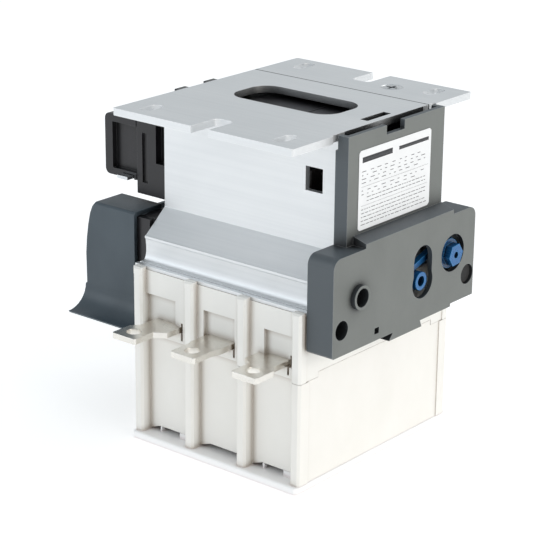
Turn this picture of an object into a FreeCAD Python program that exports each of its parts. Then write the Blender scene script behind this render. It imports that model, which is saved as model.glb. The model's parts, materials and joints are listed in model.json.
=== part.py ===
import FreeCAD, Part
import os

V = FreeCAD.Vector
os.makedirs("parts", exist_ok=True)

# A three-pole contactor standing on its front face, with the mounting plate on top.
# X runs across the poles, Y runs from the near terminals to the far ones, Z runs up.

# Levels, from the front face at the bottom to the mounting plate at the top
FRONT_T = 3.8
SEAM_Z = 54.5
SEAM_STEP = 2.6
SEAM_STEP_Y = 44.5
SEAM_GAP = 0.2
HOUSING_TOP = 87.1
PLATE_TOP = 168.0
PLATE_T = 3.5
WEB_Z = PLATE_TOP - PLATE_T

# Poles
POLE_PITCH = 37.0
BAY_PITCH = 32.6
POLES = {"left": -1, "middle": 0, "right": 1}
SIDES = {"line": -1, "load": 1}

# Insulating body
BODY_X = 51.3
BAY_Y = 54.8
COLUMN_Y = 58.5
COLUMN_W = 5.6
COLUMN_CHAMFER = 1.1
SUB_Y = 52.6
SUB_W = 19.2
SUB_TOP = 75.3
WALL = 3.0
LIP_X = 51.6
LIP_Y = 60.5
CAP_RISE = 1.5

# Terminals
TERM_Z = 60.0
TERM_T = 3.0
TERM_HOLE_Y = 73.5
TERM_HOLE_R = 3.5
TERM_TIP_Y = 81.0
TERM_HALF = 7.5
ROOT_HALF = 8.6
CONTACT_HALF = 6.5
CONTACT_IN_Y = 13.0
PAD_T = 1.4
PAD_Y = 20.0
PAD_HALF_X = 4.6
PAD_HALF_Y = 4.6
FIX_Y = 42.0
FIX_R = 2.0

# Moving carrier
TRAVEL = 8.0
STEM_X = 7.5
STEM_Y = 6.0
STEM_BOTTOM = 34.0
BRIDGE_HALF_X = 5.0
BRIDGE_HALF_Y = 26.0
BRIDGE_T = 3.0
BRIDGE_Z = TERM_Z - PAD_T - TRAVEL - 0.1 - PAD_T - BRIDGE_T
SPRING_SEAT_Z = 38.0
CARRIER_Z = 88.2
CARRIER_T = 4.4
ARM_BASE = CARRIER_Z + CARRIER_T

# Magnet
LEG_Y = 13.0
LEG_MID_X = 9.0
LEG_OUT_IN = 32.0
LEG_OUT_X = 44.0
MAGNET_GAP = TRAVEL + 0.3
LID_T = 2.6
LID_GAP = 0.1
CUSHION_T = 1.8
CORE_TOP = WEB_Z - CUSHION_T - LID_T - LID_GAP
MAGNET_ROOM = CORE_TOP - ARM_BASE - MAGNET_GAP
ARM_YOKE_T = MAGNET_ROOM * 0.142
ARM_LEG = MAGNET_ROOM * 0.147
CORE_LEG_Z = ARM_BASE + ARM_YOKE_T + ARM_LEG + MAGNET_GAP
CORE_YOKE_Z = CORE_TOP - MAGNET_ROOM * 0.203

# Coil
BOBBIN_WALL = 1.5
BOBBIN_CLEAR = 0.5
FLANGE_X = 31.2
COIL_Y = 29.0
FLANGE_T = 2.5
BOBBIN_Z = CORE_LEG_Z + 0.6
BOBBIN_TOP = CORE_YOKE_Z - 0.4
LID_X0 = -LEG_OUT_X - 6
LID_X1 = LEG_OUT_X + 4

# Frame of two extruded profiles
FRAME_X = 53.7
FRAME_END_X = 52.4
FLANGE_Y = 68.1
NEAR_WALL_Y = 33.0
FAR_WALL_Y = 36.5
FRAME_WALL = 3.0
SPLIT_Y = 34.4
SPLIT_GAP = 0.3
KNEE_Z = 112.0
RIDGE_Y = 46.3
RIDGE_Z = 101.0
BAND_Y = 47.0
FOOT_Y = 54.3
FOOT_IN_Y = 36.5
FOOT_T = 1.6
SLOT_X = 40.0
SLOT_Y = 56.5
SLOT_W = 6.5
SLOT_LEN = 13.5
NOTCH_HALF = 5.25
NOTCH_Y = 50.0

# Side cover with the label panel
WING_IN_X = 52.7
WING_X = 67.5
WING_Y = 55.4
WING_Z = 70.2
WING_FAR_Z = 71.7
TAB_Z = 66.8
WING_TOP = 116.9
WING_R = 5.0
COVER_T = 2.5
PANEL_IN_X = WING_IN_X
PANEL_X = 60.0
PANEL_Y = 36.8
LEDGE_Z = WING_TOP + 3.9
LEDGE_Y0 = -32.0
KEY_Y = 12.9
KEY_LOW_Z = 89.2
KEY_LOW_R = 8.1
KEY_UP_Z = 99.9
KEY_UP_R = 7.3
HUB_Y = 37.2
HUB_Z = 96.7
HUB_HOLE_Z = 97.4
HUB_HOLE_R = 9.3
HEX_FLATS = 9.8
HEX_X = 69.6
BUSH_Y = -37.0
BUSH_Z = 95.5
BUSH_R = 4.4
BUSH_OUT_R = 5.9
BUSH_PROUD = 2.6
COVER_SCREW_NEAR = (-48.8, 82.5)
COVER_SCREW_FAR = (49.9, 83.4)
SCREW_WELL_R = 4.6
PLUG_R = 5.0

# Interlock pin and lever
PIN_Y = 13.2
PIN_Z = 89.2
PIN_R = 4.5
PIN_BORE_R = 2.5
PIN_END_X = 66.6
LEVER_X0 = 60.0
LEVER_X1 = 63.0
LEVER_ARM = 2.8

# Left shroud and end cap
SHROUD_X = -97.0
SHROUD_END_X = -63.0
SHROUD_Y = 45.0
SHROUD_IN_Y = 25.0
SHROUD_TOP = 109.6
SHROUD_SADDLE = 96.0
SHROUD_T = 2.4
SKIRT_TOP = 66.0
SKIRT_END_X = -53.0
SKIRT_DROP = 11.5
SKIRT_OUT = 12.6

# Coil connection block at the left
BLOCK_X = -76.0
BLOCK_Z = SHROUD_TOP + 4.0
BLOCK_TOP = WEB_Z - 7.5
BLOCK_RISE = BLOCK_TOP - BLOCK_Z
TERMINAL_BOX_X = -97.0
CLAMP_X = TERMINAL_BOX_X + 12.5
TERMINAL_BOX_Z = BLOCK_Z + BLOCK_RISE * 0.143
TERMINAL_BOX_TOP = BLOCK_TOP - BLOCK_RISE * 0.138
BOX_RISE = TERMINAL_BOX_TOP - TERMINAL_BOX_Z
FIT = 0.3


def box(x0, x1, y0, y1, z0, z1):
    x0, x1 = min(x0, x1), max(x0, x1)
    y0, y1 = min(y0, y1), max(y0, y1)
    z0, z1 = min(z0, z1), max(z0, z1)
    return Part.makeBox(x1 - x0, y1 - y0, z1 - z0, V(x0, y0, z0))


def along(shape, axis):
    found = []
    for edge in shape.Edges:
        if edge.Curve.TypeId != "Part::GeomLine":
            continue
        way = edge.Vertexes[-1].Point - edge.Vertexes[0].Point
        if abs(way.normalize()[axis]) > 0.999:
            found.append(edge)
    return found


def round_box(x0, x1, y0, y1, z0, z1, radius, axis=2):
    body = box(x0, x1, y0, y1, z0, z1)
    return body.makeFillet(radius, along(body, axis))


def rod_x(radius, x0, x1, y, z):
    return Part.makeCylinder(radius, x1 - x0, V(x0, y, z), V(1, 0, 0))


def rod_z(radius, x, y, z0, z1):
    return Part.makeCylinder(radius, z1 - z0, V(x, y, z0), V(0, 0, 1))


def prism_x(points, x0, x1):
    wire = Part.makePolygon([V(x0, y, z) for y, z in points + points[:1]])
    return Part.Face(wire).extrude(V(x1 - x0, 0, 0))


def prism_y(points, y0, y1):
    wire = Part.makePolygon([V(x, y0, z) for x, z in points + points[:1]])
    return Part.Face(wire).extrude(V(0, y1 - y0, 0))


def prism_z(points, z0, z1):
    wire = Part.makePolygon([V(x, y, z0) for x, y in points + points[:1]])
    return Part.Face(wire).extrude(V(0, 0, z1 - z0))


def fuse(first, *others):
    return first.fuse(list(others)).removeSplitter()


def cut(first, *others):
    return first.cut(list(others)).removeSplitter()


def far_side(shape):
    return shape.mirror(V(0, 0, 0), V(0, 1, 0))


def save(name, shapes):
    if not isinstance(shapes, list):
        shapes = [shapes]
    solids = [solid for shape in shapes for solid in shape.Solids]
    Part.makeCompound(solids).exportStep("parts/" + name + ".step")


def many_sided(radius, sides, x, y, z0, z1):
    # A prism that stays inside the circle of this radius, for hidden pegs and their holes
    points = []
    for turn in range(sides):
        way = FreeCAD.Rotation(V(0, 0, 1), 360.0 * (turn + 0.5) / sides).multVec(V(radius, 0, 0))
        points.append((x + way.x, y + way.y))
    return prism_z(points, z0, z1)


def many_sided_x(radius, sides, x0, x1, y, z):
    shape = many_sided(radius, sides, 0, 0, 0, x1 - x0)
    shape.rotate(V(0, 0, 0), V(0, 1, 0), 90)
    shape.translate(V(x0, y, z))
    return shape


def peg_hole_x(radius, x0, x1, y, z):
    return many_sided_x(radius, 8, x0, x1, y, z)


def peg_hole_z(radius, x, y, z0, z1):
    return many_sided(radius, 8, x, y, z0, z1)


def pan_screw_z(x, y, head_z, tip_z, head_r, shank_r, head_t, down=False):
    # A pan head with a chamfered rim; the head points up, or down if asked
    sign = -1 if down else 1
    top = head_z + sign * head_t
    shoulder = top - sign * 0.7
    head = many_sided(head_r, 12, x, y, min(head_z, top), max(head_z, top))
    rim = [e for e in head.Edges if abs(e.CenterOfMass.z - top) < 0.01]
    head = head.makeChamfer(abs(top - shoulder), rim)
    shank = many_sided(shank_r, 8, x, y, min(head_z, tip_z), max(head_z, tip_z))
    return fuse(head, shank)


def coil_spring(radius, wire_r, x, y, z0, z1, turns):
    # Square sections set six to a turn, joined by flat facets from one seat to the other
    half = wire_r * 0.86
    steps = 6 * turns
    rise = z1 - z0 - 2 * wire_r
    rings = []
    for k in range(steps + 1):
        turn = FreeCAD.Rotation(V(0, 0, 1), 60.0 * k)
        mid_z = z0 + wire_r + rise * k / steps
        corners = [(radius - half, -half), (radius + half, -half), (radius + half, half), (radius - half, half)]
        rings.append([turn.multVec(V(r, 0, 0)) + V(x, y, mid_z + dz) for r, dz in corners])
    facets = [Part.makePolygon(ring + ring[:1]) for ring in (rings[0], rings[-1])]
    for low, high in zip(rings, rings[1:]):
        for k in range(4):
            near, far = k, (k + 1) % 4
            facets.append(Part.makePolygon([low[near], low[far], high[far], low[near]]))
            facets.append(Part.makePolygon([low[near], high[far], high[near], low[near]]))
    return Part.Solid(Part.Shell([Part.Face(facet) for facet in facets]))


def profile_outline(wall_y, seam):
    # Wall, slope, ridge, lower band and foot of one profile, on the positive side of Y
    inner_y = wall_y - FRAME_WALL
    foot_top = HOUSING_TOP + FOOT_T
    return [
        (wall_y, WEB_Z),
        (wall_y, KNEE_Z),
        (RIDGE_Y, RIDGE_Z),
        (BAND_Y + 0.35, RIDGE_Z - 0.4),
        (BAND_Y + 0.35, RIDGE_Z - 1.6),
        (BAND_Y - 0.1, RIDGE_Z - 2.1),
        (BAND_Y - 0.5, 95.5),
        (BAND_Y - 0.5, 92.5),
        (BAND_Y, 90.2),
        (BAND_Y + 0.8, foot_top + 0.3),
        (BAND_Y + 1.4, foot_top),
        (FOOT_Y - 3.4, foot_top),
        (FOOT_Y - 3.4, foot_top - 0.7),
        (FOOT_Y - 2.4, foot_top - 0.7),
        (FOOT_Y - 2.4, foot_top),
        (FOOT_Y, foot_top),
        (FOOT_Y, HOUSING_TOP),
        (FOOT_IN_Y, HOUSING_TOP),
        (FOOT_IN_Y, foot_top),
        (BAND_Y - 3.2, foot_top),
        (BAND_Y - 3.2, RIDGE_Z - 1.2),
        (inner_y, KNEE_Z + 1.2),
        (inner_y, seam),
    ]


def mounting_slots():
    radius = SLOT_W / 2
    reach = SLOT_LEN / 2 - radius
    slots = []
    for x in (-SLOT_X, SLOT_X):
        for y in (-SLOT_Y, SLOT_Y):
            z0, z1 = WEB_Z - 1, PLATE_TOP + 1
            middle = box(x - radius, x + radius, y - reach, y + reach, z0, z1)
            ends = [rod_z(radius, x, y + way * reach, z0, z1) for way in (-1, 1)]
            slots.append(fuse(middle, *ends))
    return slots


def edge_notch(side):
    far = side * (FLANGE_Y + 8)
    near = side * NOTCH_Y
    return round_box(-NOTCH_HALF, NOTCH_HALF, min(near, far), max(near, far), WEB_Z - 1, PLATE_TOP + 1, 3.0)


FOOT_SCREWS = [(x, side * (FOOT_IN_Y + 3.6)) for x in (-40.0, 40.0) for side in (-1, 1)]


def top_frame():
    seam = WEB_Z
    points = [(-y, z) for y, z in profile_outline(NEAR_WALL_Y, seam)]
    split = SPLIT_Y - SPLIT_GAP / 2
    points = points + [(split, WEB_Z), (split, PLATE_TOP), (-FLANGE_Y, PLATE_TOP), (-FLANGE_Y, WEB_Z)]
    body = prism_x(points, -FRAME_X, FRAME_X)
    trims = [
        box(FRAME_END_X, 60, -39.8, 60, 80, PLATE_TOP + 2),
        box(FRAME_END_X, 60, -80, 60, 80, WEB_Z),
        round_box(-31, 31, -14.5, 14.5, WEB_Z - 1, PLATE_TOP + 1, 10.0),
        box(44.6, 48.9, -8.5, 9.5, WEB_Z - 1, PLATE_TOP + 1),
        box(33.0, 42.9, -NEAR_WALL_Y - 1, -NEAR_WALL_Y + 4, WEB_Z - 26.7, WEB_Z - 15.2),
        edge_notch(-1),
    ]
    holes = [peg_hole_z(2.2, x, y, HOUSING_TOP - 2, HOUSING_TOP + 4) for x, y in FOOT_SCREWS if y < 0]
    body = cut(body, *(trims + mounting_slots() + holes))
    corners = [e for e in along(body, 2) if abs(e.CenterOfMass.y + FLANGE_Y) < 0.1 and abs(e.CenterOfMass.x) > 50]
    return body.makeChamfer(0.7, corners)


EARTH_X = 19.5
EARTH_Y = 50.2
EARTH_R = 5.6


def rear_frame():
    split = SPLIT_Y + SPLIT_GAP / 2
    points = profile_outline(FAR_WALL_Y, WEB_Z - 0.1)
    points = points + [(split, WEB_Z - 0.1), (split, PLATE_TOP), (FLANGE_Y, PLATE_TOP), (FLANGE_Y, WEB_Z)]
    body = prism_x(points, -FRAME_X, FRAME_X)
    sink = Part.makeCone(2.7, EARTH_R, 2.9, V(EARTH_X, EARTH_Y, PLATE_TOP - 2.9), V(0, 0, 1))
    trims = [
        box(FRAME_END_X, 60, 30, 38.8, 80, PLATE_TOP + 2),
        box(FRAME_END_X, 60, 30, 80, 80, WEB_Z),
        peg_hole_z(2.7, EARTH_X, EARTH_Y, WEB_Z - 1, PLATE_TOP),
        sink,
        edge_notch(1),
    ]
    holes = [peg_hole_z(2.2, x, y, HOUSING_TOP - 2, HOUSING_TOP + 4) for x, y in FOOT_SCREWS if y > 0]
    body = cut(body, *(trims + mounting_slots() + holes))
    corners = [e for e in along(body, 2) if abs(e.CenterOfMass.y - FLANGE_Y) < 0.1 and abs(e.CenterOfMass.x) > 50]
    return body.makeChamfer(0.7, corners)


def earth_screw():
    top = PLATE_TOP - 0.1
    head = many_sided(EARTH_R - 0.25, 16, EARTH_X, EARTH_Y, top - 2.8, top)
    under = [e for e in head.Edges if abs(e.CenterOfMass.z - top + 2.8) < 0.01]
    head = head.makeChamfer(2.7, under)
    shank = many_sided(2.5, 8, EARTH_X, EARTH_Y, top - 14, top - 2.8)
    return fuse(head, shank)


def hex_ring(across, bore, x, y, z0, z1):
    spread = across / 3 ** 0.5
    points = []
    for turn in range(6):
        way = V(spread, 0, 0)
        way = FreeCAD.Rotation(V(0, 0, 1), 60 * turn).multVec(way)
        points.append((x + way.x, y + way.y))
    return cut(prism_z(points, z0, z1), peg_hole_z(bore, x, y, z0 - 1, z1 + 1))


def earth_nut():
    return hex_ring(8.0, 2.52, EARTH_X, EARTH_Y, WEB_Z - 4.0, WEB_Z)


def foot_screws():
    top = HOUSING_TOP + FOOT_T
    return [pan_screw_z(x, y, top, top - 11, 3.4, 2.0, 2.4) for x, y in FOOT_SCREWS]


def column_centres():
    return [BAY_PITCH * k for k in (-1.5, -0.5, 0.5, 1.5)]


def column(x, root_y, z0, z1):
    half = COLUMN_W / 2
    post = box(x - half, x + half, -COLUMN_Y, -root_y, z0, z1)
    front = [e for e in along(post, 2) if e.CenterOfMass.y < -COLUMN_Y + 0.1]
    return post.makeChamfer(COLUMN_CHAMFER, front)


def columns(root_y, z0, z1):
    posts = [column(x, root_y, z0, z1) for x in column_centres()]
    return posts + [far_side(post) for post in posts]


def column_caps():
    # Each column ends in a low rounded cap that stands above the panels
    caps = []
    half = COLUMN_W / 2
    for x in column_centres():
        cap = box(x - half, x + half, -COLUMN_Y, -FOOT_Y - 0.3, HOUSING_TOP - 2, HOUSING_TOP + CAP_RISE)
        rims = [e for e in cap.Edges if e.CenterOfMass.y < -COLUMN_Y + 0.1 and e.CenterOfMass.z > HOUSING_TOP - 1.9]
        caps.append(cap.makeChamfer(0.9, rims))
    return caps + [far_side(cap) for cap in caps]


def pole_x(name):
    return POLES[name] * POLE_PITCH


def bay_x(name):
    return POLES[name] * BAY_PITCH


def sub_recesses(z0):
    half = SUB_W / 2
    floors = []
    for name in POLES:
        left = max(pole_x(name) - half, -BODY_X + COLUMN_W - 0.6)
        right = min(pole_x(name) + half, BODY_X - COLUMN_W + 0.6)
        floor = box(left, right, -BAY_Y - 1, -SUB_Y, z0, SUB_TOP)
        floors.extend([floor, far_side(floor)])
    return floors


SHELF_Y = 33.0
BAY_HALF = (BAY_PITCH - WALL) / 2
CAVITY_TOP = 80.0
TERM_TOP = TERM_Z + TERM_T


def pole_housing():
    low = SEAM_Z + SEAM_GAP
    body = box(-BODY_X, BODY_X, -BAY_Y, BAY_Y, low, HOUSING_TOP)
    body = fuse(body, *(columns(BAY_Y - 1, low, HOUSING_TOP) + column_caps()))
    tools = sub_recesses(TERM_Z - 0.1)
    step = SEAM_STEP_Y
    tools.append(box(-60, 60, -step, step, low - 1, low + SEAM_STEP))
    for name in POLES:
        x = bay_x(name)
        tools.append(box(x - BAY_HALF, x + BAY_HALF, -SHELF_Y, SHELF_Y, low - 1, CAVITY_TOP))
        tools.append(box(x - BAY_HALF, x + BAY_HALF, -50, 50, low - 1, TERM_TOP))
        tools.append(box(x - STEM_X - 0.4, x + STEM_X + 0.4, -STEM_Y - 0.4, STEM_Y + 0.4, 70, 90))
        wide = ROOT_HALF + 0.15
        for side in (-1, 1):
            tools.append(box(x - wide, x + wide, side * 49, side * 60, TERM_Z - 0.1, TERM_TOP + 0.05))
            tools.append(box(x + wide - 0.1, x + wide + 1.1, side * 51.5, side * 60, TERM_Z - 4, TERM_TOP + 2))
            tools.append(peg_hole_z(FIX_R + 0.02, x, side * FIX_Y, TERM_Z, 74))
    for x, y in FOOT_SCREWS:
        tools.append(peg_hole_z(2.02, x, y, HOUSING_TOP - 11, HOUSING_TOP + 3))
    for y, z in (COVER_SCREW_NEAR, COVER_SCREW_FAR):
        tools.append(peg_hole_x(2.02, BODY_X - 10, BODY_X + 1, y, z))
    body = cut(body, *tools)
    posts = [many_sided(4.8, 8, x, 0, low + SEAM_STEP, CAVITY_TOP + 1) for x in (-BAY_PITCH / 2, BAY_PITCH / 2)]
    holes = [peg_hole_z(2.02, x, 0, low - 1, 78) for x in (-BAY_PITCH / 2, BAY_PITCH / 2)]
    return cut(fuse(body, *posts), *holes)


EXHAUST_TOP = 6.7
EXHAUST_LEFT = -13.4
EXHAUST_SHOULDER = -7.2
EXHAUST_RIGHT = 11.2
FLOOR_Z = 8.4
FLOOR_T = 2.2
CHUTE_COUNT = 4
CHUTE_T = 1.2
CHUTE_Y0 = 31.0
CHUTE_Y1 = SUB_Y - WALL - 0.1
CHUTE_Z0 = FLOOR_Z + FLOOR_T + 1.6
CHUTE_PITCH = 9.6


def chute_levels():
    return [CHUTE_Z0 + CHUTE_PITCH * k for k in range(CHUTE_COUNT)]


def exhaust_window(x, side):
    # The opening's upper corner slopes down to the column on the left
    points = [
        (x + EXHAUST_LEFT, FRONT_T - 1),
        (x + EXHAUST_LEFT, FRONT_T + 0.8),
        (x + EXHAUST_SHOULDER, EXHAUST_TOP),
        (x + EXHAUST_RIGHT, EXHAUST_TOP),
        (x + EXHAUST_RIGHT, FRONT_T - 1),
    ]
    inner, outer = side * (SUB_Y - WALL - 0.5), side * (SUB_Y + 2)
    return prism_y(points, min(inner, outer), max(inner, outer))


def arc_chamber_cover():
    edge = BODY_X - 0.1
    body = box(-edge, edge, -SUB_Y, SUB_Y, FRONT_T, SEAM_Z)
    body = fuse(body, *columns(SUB_Y - 1, FRONT_T, SEAM_Z))
    raised = box(-edge, edge, -SEAM_STEP_Y + 0.2, SEAM_STEP_Y - 0.2, SEAM_Z - 1, SEAM_Z + SEAM_STEP)
    body = fuse(body, raised)
    tools = []
    for name in POLES:
        x = bay_x(name)
        half = BAY_HALF
        reach = SUB_Y - WALL
        tools.append(box(x - half, x + half, -reach, reach, FLOOR_Z + FLOOR_T, SEAM_Z + SEAM_STEP + 1))
        tools.append(box(x - half, x + half, -reach, reach, FRONT_T - 1, FLOOR_Z))
        for side in (-1, 1):
            tools.append(exhaust_window(x, side))
            for row in range(2):
                y = side * (36 + 8 * row)
                tools.append(box(x - 11, x + 11, y - 2, y + 2, FLOOR_Z - 1, FLOOR_Z + FLOOR_T + 1))
    body = cut(body, *tools)
    post_x = BAY_PITCH / 2
    posts = [many_sided(4.8, 8, x, 0, FRONT_T, SEAM_Z + SEAM_STEP) for x in (-post_x, post_x)]
    body = fuse(body, *posts)
    holes = [peg_hole_z(2.3, x, 0, FRONT_T - 1, 60) for x in (-post_x, post_x)]
    return cut(body, *holes)


def vent_blocks():
    # Small white blocks that stand in each exhaust window
    blocks = []
    for name in ("left", "right"):
        x = bay_x(name)
        for side in (-1, 1):
            inner, outer = side * (SUB_Y - 2.6), side * (SUB_Y - 0.2)
            blocks.append(box(x - 7.4, x - 6.3, inner, outer, FRONT_T, EXHAUST_TOP - 0.2))
            blocks.append(box(x + 5.2, x + 10.9, inner, outer, FRONT_T, EXHAUST_TOP - 0.2))
    return blocks


def front_plate():
    body = box(-LIP_X, LIP_X, -LIP_Y, LIP_Y, 0, FRONT_T)
    body = body.makeChamfer(1.2, along(body, 2))
    rim = [e for e in body.Edges if abs(e.CenterOfMass.z - FRONT_T) < 0.01]
    body = body.makeChamfer(0.6, rim)
    body = fuse(body, *vent_blocks())
    wells = []
    for x in (-BAY_PITCH / 2, BAY_PITCH / 2):
        wells.append(many_sided(4.6, 12, x, 0, -1, 2.6))
        wells.append(peg_hole_z(2.3, x, 0, -1, 10))
    field = box(-44, 44, -38, -12, -1, 0.5)
    other = box(-44, 44, 12, 38, -1, 0.5)
    return cut(body, field, other, *wells)


def front_screws():
    x = BAY_PITCH / 2
    return [pan_screw_z(-x, 0, 2.6, 74, 3.9, 2.0, 2.2, True), pan_screw_z(x, 0, 2.6, 74, 3.9, 2.0, 2.2, True)]


def chute_plate(x, z):
    half = BAY_HALF
    plate = box(x - half, x + half, -CHUTE_Y1, -CHUTE_Y0, z, z + CHUTE_T)
    notch = prism_z([(x - 4.5, -CHUTE_Y0 + 1), (x + 4.5, -CHUTE_Y0 + 1), (x + 1.2, -CHUTE_Y0 - 9),
                     (x - 1.2, -CHUTE_Y0 - 9)], z - 1, z + 3)
    return cut(plate, notch)


def arc_plates(name, side):
    plates = [chute_plate(bay_x(name), z) for z in chute_levels()]
    if side > 0:
        plates = [far_side(plate) for plate in plates]
    return plates


def terminal(name, side):
    # A flat bar whose outer part is set over to the wider pole pitch
    tip = pole_x(name)
    root = bay_x(name)
    points = [
        (tip - TERM_HALF + 1, -TERM_TIP_Y),
        (tip + TERM_HALF - 1, -TERM_TIP_Y),
        (tip + TERM_HALF, -TERM_TIP_Y + 1),
        (tip + TERM_HALF, -68.2),
        (root + ROOT_HALF, -64.4),
        (root + ROOT_HALF, -30.5),
        (root + CONTACT_HALF, -28.0),
        (root + CONTACT_HALF, -CONTACT_IN_Y),
        (root - CONTACT_HALF, -CONTACT_IN_Y),
        (root - CONTACT_HALF, -28.0),
        (root - ROOT_HALF, -30.5),
        (root - ROOT_HALF, -64.4),
        (tip - TERM_HALF, -68.2),
        (tip - TERM_HALF, -TERM_TIP_Y + 1),
    ]
    bar = prism_z(points, TERM_Z, TERM_TOP)
    bar = cut(bar, rod_z(TERM_HOLE_R, tip, -TERM_HOLE_Y, 50, 70), peg_hole_z(FIX_R + 0.2, root, -FIX_Y, 50, 70))
    return bar if side < 0 else far_side(bar)


def contact_pads(side, z0):
    pads = []
    for name in POLES:
        x = bay_x(name)
        y = side * PAD_Y
        pad = box(x - PAD_HALF_X, x + PAD_HALF_X, y - PAD_HALF_Y, y + PAD_HALF_Y, z0, z0 + PAD_T)
        pads.append(pad)
    return pads


def terminal_screws():
    screws = []
    for name in POLES:
        for side in (-1, 1):
            screws.append(pan_screw_z(bay_x(name), side * FIX_Y, TERM_Z, 72, 3.6, FIX_R, 2.4, True))
    return screws


WINDOW_TOP = BRIDGE_Z + BRIDGE_T


def contact_carrier():
    plate = box(-46, 46, -11, 11, CARRIER_Z, ARM_BASE)
    wings = box(-13, 13, -27.5, 27.5, CARRIER_Z, ARM_BASE)
    arm = box(44, 55.0, PIN_Y - 4, PIN_Y + 4, CARRIER_Z, ARM_BASE)
    stub = box(44, 50, 5, PIN_Y + 4, CARRIER_Z, ARM_BASE)
    stems = [box(bay_x(n) - STEM_X, bay_x(n) + STEM_X, -STEM_Y, STEM_Y, STEM_BOTTOM, CARRIER_Z) for n in POLES]
    body = fuse(plate, wings, arm, stub, *stems)
    tools = []
    for name in POLES:
        x = bay_x(name)
        wide = BRIDGE_HALF_X + 0.2
        tools.append(box(x - wide, x + wide, -STEM_Y - 1, STEM_Y + 1, SPRING_SEAT_Z, WINDOW_TOP))
    for x in (-38, 38):
        tools.append(peg_hole_z(2.02, x, 0, CARRIER_Z - 1, ARM_BASE + 1))
    return cut(body, *tools)


def armature():
    top = CORE_LEG_Z - MAGNET_GAP
    yoke = box(-LEG_OUT_X, LEG_OUT_X, -LEG_Y, LEG_Y, ARM_BASE, ARM_BASE + ARM_YOKE_T)
    middle = box(-LEG_MID_X, LEG_MID_X, -LEG_Y, LEG_Y, ARM_BASE, top - 0.2)
    left = box(-LEG_OUT_X, -LEG_OUT_IN, -LEG_Y, LEG_Y, ARM_BASE, top)
    right = box(LEG_OUT_IN, LEG_OUT_X, -LEG_Y, LEG_Y, ARM_BASE, top)
    body = fuse(yoke, middle, left, right)
    wells = [peg_hole_z(4.1, x, 0, top - 4, top + 1) for x in (-38, 38)]
    holes = [peg_hole_z(2.1, x, 0, ARM_BASE - 1, top + 1) for x in (-38, 38)]
    return cut(body, *(wells + holes))


def armature_screws():
    seat = CORE_LEG_Z - MAGNET_GAP - 4
    return [pan_screw_z(x, 0, seat, CARRIER_Z + 0.2, 3.5, 2.0, 2.4) for x in (-38, 38)]


def magnet_core():
    yoke = box(-LEG_OUT_X, LEG_OUT_X, -LEG_Y, LEG_Y, CORE_YOKE_Z, CORE_TOP)
    middle = box(-LEG_MID_X, LEG_MID_X, -LEG_Y, LEG_Y, CORE_LEG_Z, CORE_TOP)
    left = box(-LEG_OUT_X, -LEG_OUT_IN, -LEG_Y, LEG_Y, CORE_LEG_Z, CORE_TOP)
    right = box(LEG_OUT_IN, LEG_OUT_X, -LEG_Y, LEG_Y, CORE_LEG_Z, CORE_TOP)
    return fuse(yoke, middle, left, right)


def shading_rings():
    # A copper ring let into each outer pole face of the fixed core
    rings = []
    for side in (-1, 1):
        mid = side * (LEG_OUT_IN + LEG_OUT_X) / 2
        outer = box(mid - 4.4, mid + 4.4, -LEG_Y + 1.5, LEG_Y - 1.5, CORE_LEG_Z, CORE_LEG_Z + 2.5)
        inner = box(mid - 2.9, mid + 2.9, -LEG_Y + 3, LEG_Y - 3, CORE_LEG_Z - 1, CORE_LEG_Z + 4)
        rings.append(cut(outer, inner))
    return rings


def core_hole(z0, z1):
    gap = BOBBIN_CLEAR
    return box(-LEG_MID_X - gap, LEG_MID_X + gap, -LEG_Y - gap, LEG_Y + gap, z0, z1)


def coil_bobbin():
    wall = BOBBIN_CLEAR + BOBBIN_WALL
    tube = box(-LEG_MID_X - wall, LEG_MID_X + wall, -LEG_Y - wall, LEG_Y + wall, BOBBIN_Z, BOBBIN_TOP)
    low = box(-FLANGE_X, FLANGE_X, -COIL_Y, COIL_Y, BOBBIN_Z, BOBBIN_Z + FLANGE_T)
    high = box(-FLANGE_X, FLANGE_X, -COIL_Y, COIL_Y, BOBBIN_TOP - FLANGE_T, BOBBIN_TOP)
    parts = [low, high]
    for side in (-1, 1):
        for z0 in (BOBBIN_Z, BOBBIN_TOP - FLANGE_T):
            parts.append(box(-FRAME_X - 0.1, -FLANGE_X + 1, side * 15, side * COIL_Y, z0, z0 + FLANGE_T))
        parts.append(many_sided(3.0, 8, 0, side * 21.5, BOBBIN_Z - 3.5, BOBBIN_Z))
    return cut(fuse(tube, *parts), core_hole(BOBBIN_Z - 1, BOBBIN_TOP + 1))


def coil_winding():
    wall = BOBBIN_CLEAR + BOBBIN_WALL + 0.05
    z0 = BOBBIN_Z + FLANGE_T + 0.05
    z1 = BOBBIN_TOP - FLANGE_T - 0.05
    outer = box(-FLANGE_X + 1.2, FLANGE_X - 1.2, -COIL_Y + 1.8, COIL_Y - 1.8, z0, z1)
    outer = outer.makeChamfer(3.0, along(outer, 2))
    inner = box(-LEG_MID_X - wall, LEG_MID_X + wall, -LEG_Y - wall, LEG_Y + wall, z0 - 1, z1 + 1)
    return cut(outer, inner)


def coil_lid():
    # The black cap over the core that shows through the opening in the plate
    top = CORE_TOP + LID_T + LID_GAP
    body = box(LID_X0, LID_X1, -COIL_Y, COIL_Y, BOBBIN_TOP, top)
    hollow = box(LID_X0 + 1, LID_X1 + 12, -LEG_Y - 0.3, LEG_Y + 0.3, BOBBIN_TOP - 1, CORE_TOP + LID_GAP)
    groove = box(LID_X0, LID_X1, -2.2, -1.4, top - 0.5, top + 1)
    groove_b = box(6.0, 6.8, -1.4, COIL_Y, top - 0.5, top + 1)
    slope = prism_x([(-COIL_Y - 1, top + 1), (-COIL_Y - 1, top - 6), (-COIL_Y + 5, top + 1)], LID_X0 - 10, LID_X1 + 12)
    return cut(body, hollow, groove, groove_b, slope, far_side(slope))


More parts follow.
